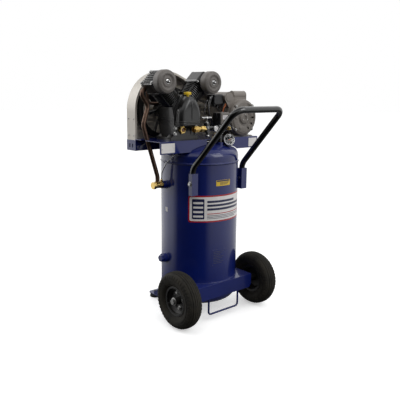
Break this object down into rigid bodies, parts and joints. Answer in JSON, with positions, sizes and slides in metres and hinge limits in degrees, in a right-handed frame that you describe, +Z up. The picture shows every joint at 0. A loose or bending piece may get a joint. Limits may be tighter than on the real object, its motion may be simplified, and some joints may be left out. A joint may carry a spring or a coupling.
{
  "type": "vertical tank air compressor",
  "caption": "Upright wheeled air compressor: a vertical receiver with a belt-driven V-twin pump and electric motor on a deck, belt guard, controls and a push handle.",
  "frame": {"origin": "centre of the whole object's footprint box, on the floor", "axes": "+Z up; +X along the wheel axle towards the motor's side; +Y from the handle's side towards the belt guard"},
  "size_m": [0.5914, 0.627, 1.106],
  "materials": {
    "tank_blue": "gloss enamel",
    "black_paint": "gloss black enamel",
    "guard_silver": "satin silver enamel",
    "cast_black": "painted black casting",
    "cast_grey": "painted dark grey casting",
    "motor_grey": "satin dark grey enamel",
    "steel": "ground",
    "zinc": "zinc plated",
    "chrome": "bright",
    "aluminium": "machined",
    "brass": "machined",
    "copper": "dulled copper",
    "rubber": "matt",
    "tyre": "matt",
    "plastic_black": "matt",
    "plastic_grey": "satin",
    "plastic_yellow": "gloss"
  },
  "bodies": {
    "frame": {"axle_bolts": "zinc", "axle_bracket": "tank_blue", "belt_guard_band": "guard_silver", "belt_guard_panel": "guard_silver", "capacitor_covers": "motor_grey", "check_valve": "brass", "connecting_rods": "aluminium", "coupler_body": "brass", "crank_bearings": "steel", "crankcase": "cast_black", "crankcase_cover": "cast_black", "cylinder_heads": "cast_black", "cylinders": "cast_black", "deck_plate": "tank_blue", "deck_supports": "tank_blue", "discharge_pipes": "copper", "drain_valve_body": "brass", "drive_belt": "rubber", "filter_bases": "plastic_black", "filter_caps": "plastic_grey", "frame_bolts": "zinc", "front_hoop": "tank_blue", "guard_rail": "tank_blue", "handle_brackets": "tank_blue", "handle_tube": "black_paint", "head_bolts": "zinc", "manifold": "black_paint", "motor_base": "motor_grey", "motor_end_bells": "cast_grey", "motor_shell": "motor_grey", "oil_filler_plug": "plastic_yellow", "pistons": "aluminium", "port_bosses": "tank_blue", "pressure_gauges": "plastic_grey", "pressure_switch_body": "plastic_black", "pressure_switch_cover": "plastic_grey", "rear_foot_bracket": "tank_blue", "rubber_feet": "rubber", "safety_valve": "brass", "sight_glass": "brass", "stator": "steel", "switch_cables": "rubber", "tank_bottom_head": "tank_blue", "tank_shell": "tank_blue", "tank_top_head": "tank_blue", "unloader_tube": "aluminium", "valve_plates": "steel"},
    "wheel_left": {"tyre_left": "tyre", "rim_left": "black_paint"},
    "wheel_right": {"tyre_right": "tyre", "rim_right": "black_paint"},
    "crank": {"flywheel": "cast_black", "crankshaft": "steel"},
    "motor_rotor": {"rotor": "steel", "motor_pulley": "cast_grey"},
    "lever": {"switch_lever": "plastic_black"},
    "tee_handle": {"regulator_handle": "chrome"},
    "coupler_ring": {"coupler_sleeve": "brass"},
    "relief_ring": {"safety_ring": "zinc"},
    "drain_key": {"drain_valve_key": "brass"}
  },
  "joints": [
    {"name": "wheel_left_spin", "type": "hinge", "parent": "frame", "child": "wheel_left", "pos_m": [-0.21675, -0.073, 0.1275], "axis": [1, 0, 0], "continuous": true},
    {"name": "wheel_right_spin", "type": "hinge", "parent": "frame", "child": "wheel_right", "pos_m": [0.24825, -0.073, 0.1275], "axis": [1, 0, 0], "continuous": true},
    {"name": "crank_spin", "type": "hinge", "parent": "frame", "child": "crank", "pos_m": [-0.12425, 0.1855, 0.936], "axis": [0, 1, 0], "continuous": true, "deforming": ["connecting_rods"]},
    {"name": "motor_spin", "type": "hinge", "parent": "frame", "child": "motor_rotor", "pos_m": [0.21175, 0.1855, 0.901], "axis": [0, 1, 0], "continuous": true},
    {"name": "switch_lever_turn", "type": "hinge", "parent": "frame", "child": "lever", "pos_m": [0.05575, 0.0075, 0.902], "axis": [1, 0, 0], "range_deg": [0, 40]},
    {"name": "regulator_turn", "type": "hinge", "parent": "frame", "child": "tee_handle", "pos_m": [-0.04325, -0.0395, 0.89], "axis": [0, 0, 1], "range_deg": [-360, 360]},
    {"name": "coupler_sleeve_slide", "type": "slide", "parent": "frame", "child": "coupler_ring", "axis": [1, 0, 0], "range_m": [0, 0.006], "stiffness_N_per_m": 900, "springref_m": -0.002},
    {"name": "safety_ring_pull", "type": "slide", "parent": "frame", "child": "relief_ring", "axis": [0, -1, 0], "range_m": [0, 0.003], "stiffness_N_per_m": 1500, "springref_m": -0.001},
    {"name": "drain_key_turn", "type": "hinge", "parent": "frame", "child": "drain_key", "pos_m": [0.01575, 0.0725, 0.0175], "axis": [1, 0, 0], "range_deg": [0, 360]}
  ],
  "couplings": [
    {"joint": "motor_spin", "follows": "crank_spin", "ratio": 3}
  ]
}
